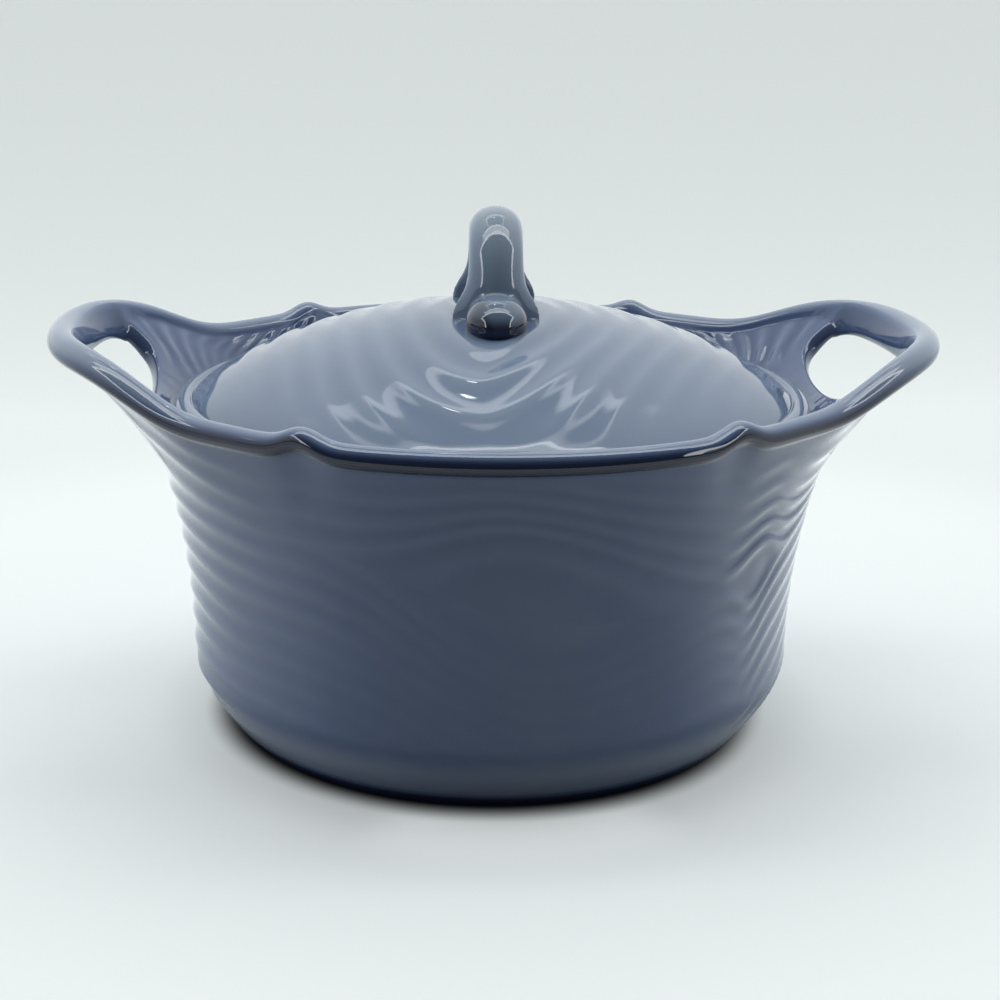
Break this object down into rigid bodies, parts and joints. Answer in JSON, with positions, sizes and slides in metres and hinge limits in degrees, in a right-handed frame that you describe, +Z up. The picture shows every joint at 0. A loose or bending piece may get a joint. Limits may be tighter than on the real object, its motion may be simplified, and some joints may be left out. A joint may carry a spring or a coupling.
{
  "type": "covered baking dish",
  "caption": "Round covered baking dish in glazed stoneware: flared body, rim drawn out into pierced handles, domed lift-off lid resting on an inner ledge, looped twig knob.",
  "frame": {"origin": "on the table under the middle of the round body", "axes": "+Z up, +X through the right-hand handle, -Y towards the side the picture shows"},
  "size_m": [0.3119, 0.255, 0.1836],
  "materials": {
    "dish_glaze": "slate blue gloss glaze",
    "lid_glaze": "slate blue gloss glaze",
    "knob_glaze": "slate blue gloss glaze"
  },
  "bodies": {
    "dish": {"dish": "dish_glaze"},
    "lid": {"lid": "lid_glaze", "lid_knob": "knob_glaze"}
  },
  "joints": [
    {"name": "lid_lift", "type": "slide", "parent": "dish", "child": "lid", "axis": [0, 0, 1], "range_m": [0, 0.08]}
  ]
}
